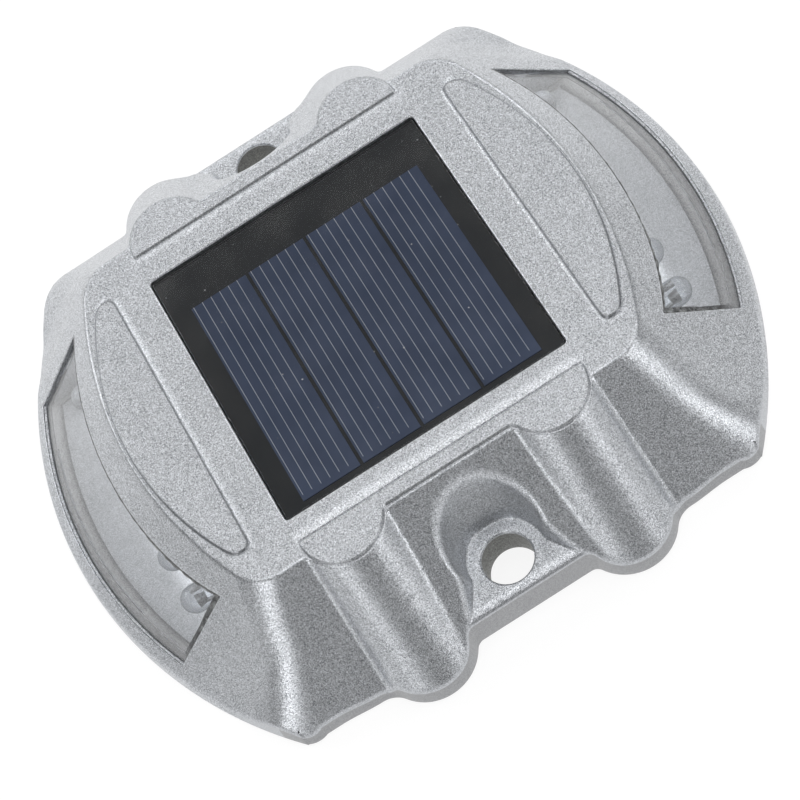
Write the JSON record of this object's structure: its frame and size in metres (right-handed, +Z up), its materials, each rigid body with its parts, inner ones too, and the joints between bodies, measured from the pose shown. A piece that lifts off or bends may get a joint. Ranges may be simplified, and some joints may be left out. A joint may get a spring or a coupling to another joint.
{
  "type": "solar road stud",
  "caption": "Low die-cast aluminium road stud with a square solar panel in its flat top, clear LED windows at both ends and a bolt tab at front and back.",
  "frame": {"origin": "middle of the base, on the road plane", "axes": "+Z up out of the road, +X along the length from the left window to the right window, +Y from the front bolt tab to the back bolt tab"},
  "size_m": [0.145, 0.1316, 0.0265],
  "materials": {
    "housing_silver": "silver metallic paint over a fine sand texture, satin",
    "gasket_black": "matt black elastomer",
    "panel_laminate": "black laminate",
    "solar_cell": "dark navy silicon with fine silver grid lines",
    "panel_clear": "clear smooth resin face",
    "lens_clear": "clear moulded plastic, glossy",
    "sealant_grey": "smooth grey sealant",
    "led_board_white": "white solder mask",
    "led_clear": "water-clear resin, glossy",
    "tinned_metal": "bright tin plate",
    "board_green": "green solder mask",
    "ferrite_grey": "dark ferrite",
    "capacitor_blue": "dark blue shrink sleeve",
    "chip_black": "black moulding compound",
    "holder_black": "black moulded plastic",
    "cell_can": "nickel-plated can",
    "sleeve_green": "green shrink sleeve, plain",
    "wire_red": "red insulation",
    "wire_black": "black insulation",
    "wire_white": "white insulation",
    "switch_black": "black moulded plastic",
    "button_red": "red moulded plastic",
    "cover_black": "black moulded plastic, fine grain",
    "screw_steel": "zinc-plated steel"
  },
  "bodies": {
    "stud": {"housing": "housing_silver", "panel_gasket": "gasket_black", "panel_board": "panel_laminate", "solar_cells": "solar_cell", "panel_cover": "panel_clear", "left_lens": "lens_clear", "right_lens": "lens_clear", "left_lens_seal": "sealant_grey", "right_lens_seal": "sealant_grey", "left_led_board": "led_board_white", "right_led_board": "led_board_white", "left_leds": "led_clear", "right_leds": "led_clear", "left_led_frames": "tinned_metal", "right_led_frames": "tinned_metal", "main_board": "board_green", "board_screws": "screw_steel", "choke_coil": "ferrite_grey", "storage_capacitor": "capacitor_blue", "controller_chip": "chip_black", "battery_holder": "holder_black", "battery_contacts": "tinned_metal", "battery_cell": "cell_can", "battery_sleeve": "sleeve_green", "battery_lead_red": "wire_red", "battery_lead_black": "wire_black", "panel_lead_red": "wire_red", "panel_lead_black": "wire_black", "left_led_wires": "wire_white", "right_led_wires": "wire_white", "switch_wires": "wire_white", "switch_body": "switch_black", "bottom_cover": "cover_black", "cover_gasket": "gasket_black", "cover_screws": "screw_steel"},
    "button": {"power_button": "button_red"}
  },
  "joints": [
    {"name": "button_press", "type": "slide", "parent": "stud", "child": "button", "axis": [0, 0, 1], "range_m": [0, 0.0018], "stiffness_N_per_m": 900, "springref_m": -0.0004}
  ]
}
